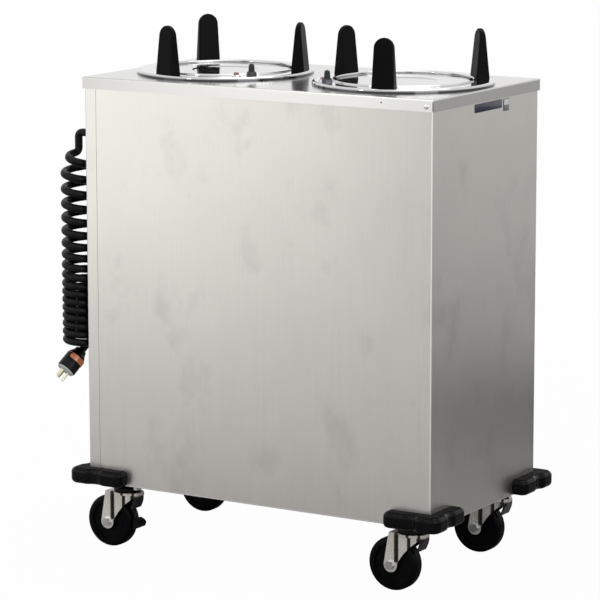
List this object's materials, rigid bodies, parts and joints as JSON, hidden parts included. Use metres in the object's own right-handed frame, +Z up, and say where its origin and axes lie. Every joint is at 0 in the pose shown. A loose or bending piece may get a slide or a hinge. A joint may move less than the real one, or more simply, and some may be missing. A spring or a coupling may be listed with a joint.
{
  "type": "plate dispenser cart",
  "caption": "Tall narrow stainless cart with drop-in self-levelling plate wells, guide posts, corner bumpers, swivel casters and a coiled mains cord.",
  "frame": {"origin": "on the floor, midway between the corner bumpers in X and Y", "axes": "+X to the cart's right along its long side, -Y its front, +Z up"},
  "size_m": [0.8564, 0.467, 1.0143],
  "materials": {
    "stainless": "satin stainless sheet, number 4 grain",
    "polished_stainless": "bright stainless sheet",
    "galvanised": "galvanised sheet",
    "zinc": "bright zinc-plated pressing",
    "plated_screw": "bright plated fasteners",
    "black_enamel": "black enamel",
    "bumper_rubber": "moulded black vinyl, slightly glossy",
    "black_post": "moulded black plastic",
    "black_tread": "black moulded tread and hub",
    "red_lens": "red lamp lens",
    "black_rubber": "soft black rubber boot",
    "phenolic": "dark moulded switch housing",
    "heater_sheath": "dark oxidised heater sheath",
    "wire_cover": "dark lead insulation",
    "cord_rubber": "black rubber cord",
    "plug_black": "black plug body with a bare orange band",
    "plug_grey": "pale grey plug face",
    "prong_metal": "pale plated brass prongs"
  },
  "bodies": {
    "cabinet": {"front_wrap": "stainless", "rear_wrap": "stainless", "seam_strips": "stainless", "base_pan": "stainless", "caster_channels": "galvanised", "top_deck": "polished_stainless", "deck_rivets": "polished_stainless", "bumper_front_left": "bumper_rubber", "bumper_front_right": "bumper_rubber", "bumper_rear_left": "bumper_rubber", "bumper_rear_right": "bumper_rubber", "bumper_screws": "plated_screw", "left_ring": "polished_stainless", "right_ring": "polished_stainless", "left_guide_posts": "black_post", "right_guide_posts": "black_post", "left_tube": "galvanised", "right_tube": "galvanised", "left_springs": "zinc", "right_springs": "zinc", "heaters": "heater_sheath", "thermostats": "phenolic", "lamp_bezels": "plated_screw", "lamp_lenses": "red_lens", "switch_bodies": "phenolic", "switch_nuts": "plated_screw", "junction_box": "galvanised", "wiring_harness": "wire_cover", "caster_bolts": "plated_screw", "cord_gland": "phenolic", "cord_coil": "cord_rubber", "plug_body": "plug_black", "plug_face": "plug_grey", "plug_prongs": "prong_metal", "caster_plate_front_left": "black_enamel", "caster_plate_front_right": "black_enamel", "caster_plate_rear_left": "black_enamel", "caster_plate_rear_right": "black_enamel"},
    "swivel_front_left": {"fork_front_left": "zinc", "axle_front_left": "zinc"},
    "roller_front_left": {"wheel_front_left": "black_tread"},
    "brake_lever_front_left": {"brake_front_left": "black_enamel"},
    "swivel_front_right": {"fork_front_right": "zinc", "axle_front_right": "zinc"},
    "roller_front_right": {"wheel_front_right": "black_tread"},
    "swivel_rear_left": {"fork_rear_left": "zinc", "axle_rear_left": "zinc"},
    "roller_rear_left": {"wheel_rear_left": "black_tread"},
    "brake_lever_rear_left": {"brake_rear_left": "black_enamel"},
    "swivel_rear_right": {"fork_rear_right": "zinc", "axle_rear_right": "zinc"},
    "roller_rear_right": {"wheel_rear_right": "black_tread"},
    "left_lift": {"left_carrier": "stainless"},
    "left_switch_lever": {"left_toggle": "plated_screw", "left_switch_boot": "black_rubber"},
    "right_lift": {"right_carrier": "stainless"},
    "right_switch_lever": {"right_toggle": "plated_screw", "right_switch_boot": "black_rubber"}
  },
  "joints": [
    {"name": "swivel_turn_front_left", "type": "hinge", "parent": "cabinet", "child": "swivel_front_left", "pos_m": [-0.3159, -0.1623, 0.11], "axis": [0, 0, 1], "continuous": true},
    {"name": "wheel_spin_front_left", "type": "hinge", "parent": "swivel_front_left", "child": "roller_front_left", "pos_m": [-0.3509, -0.1623, 0.0508], "axis": [0, 1, 0], "continuous": true},
    {"name": "brake_press_front_left", "type": "hinge", "parent": "swivel_front_left", "child": "brake_lever_front_left", "pos_m": [-0.3009, -0.1623, 0.101], "axis": [0, 1, 0], "range_deg": [0, 3.5]},
    {"name": "swivel_turn_front_right", "type": "hinge", "parent": "cabinet", "child": "swivel_front_right", "pos_m": [0.3159, -0.1623, 0.11], "axis": [0, 0, 1], "continuous": true},
    {"name": "wheel_spin_front_right", "type": "hinge", "parent": "swivel_front_right", "child": "roller_front_right", "pos_m": [0.2809, -0.1623, 0.0508], "axis": [0, 1, 0], "continuous": true},
    {"name": "swivel_turn_rear_left", "type": "hinge", "parent": "cabinet", "child": "swivel_rear_left", "pos_m": [-0.3159, 0.1623, 0.11], "axis": [0, 0, 1], "continuous": true},
    {"name": "wheel_spin_rear_left", "type": "hinge", "parent": "swivel_rear_left", "child": "roller_rear_left", "pos_m": [-0.3509, 0.1623, 0.0508], "axis": [0, 1, 0], "continuous": true},
    {"name": "brake_press_rear_left", "type": "hinge", "parent": "swivel_rear_left", "child": "brake_lever_rear_left", "pos_m": [-0.3009, 0.1623, 0.101], "axis": [0, 1, 0], "range_deg": [0, 3.5]},
    {"name": "swivel_turn_rear_right", "type": "hinge", "parent": "cabinet", "child": "swivel_rear_right", "pos_m": [0.3159, 0.1623, 0.11], "axis": [0, 0, 1], "continuous": true},
    {"name": "wheel_spin_rear_right", "type": "hinge", "parent": "swivel_rear_right", "child": "roller_rear_right", "pos_m": [0.2809, 0.1623, 0.0508], "axis": [0, 1, 0], "continuous": true},
    {"name": "left_carrier_drop", "type": "slide", "parent": "cabinet", "child": "left_lift", "axis": [0, 0, -1], "range_m": [0, 0.54], "stiffness_N_per_m": 500, "springref_m": -0.06, "deforming": ["left_springs"]},
    {"name": "left_switch_throw", "type": "hinge", "parent": "cabinet", "child": "left_switch_lever", "pos_m": [-0.07175, -0.09348, 0.9293], "axis": [0.7837, -0.6211, 0], "range_deg": [-11, 11]},
    {"name": "right_carrier_drop", "type": "slide", "parent": "cabinet", "child": "right_lift", "axis": [0, 0, -1], "range_m": [0, 0.54], "stiffness_N_per_m": 500, "springref_m": -0.06, "deforming": ["right_springs"]},
    {"name": "right_switch_throw", "type": "hinge", "parent": "cabinet", "child": "right_switch_lever", "pos_m": [0.10772, -0.11795, 0.9293], "axis": [-0.6211, -0.7837, 0], "range_deg": [-11, 11]}
  ]
}
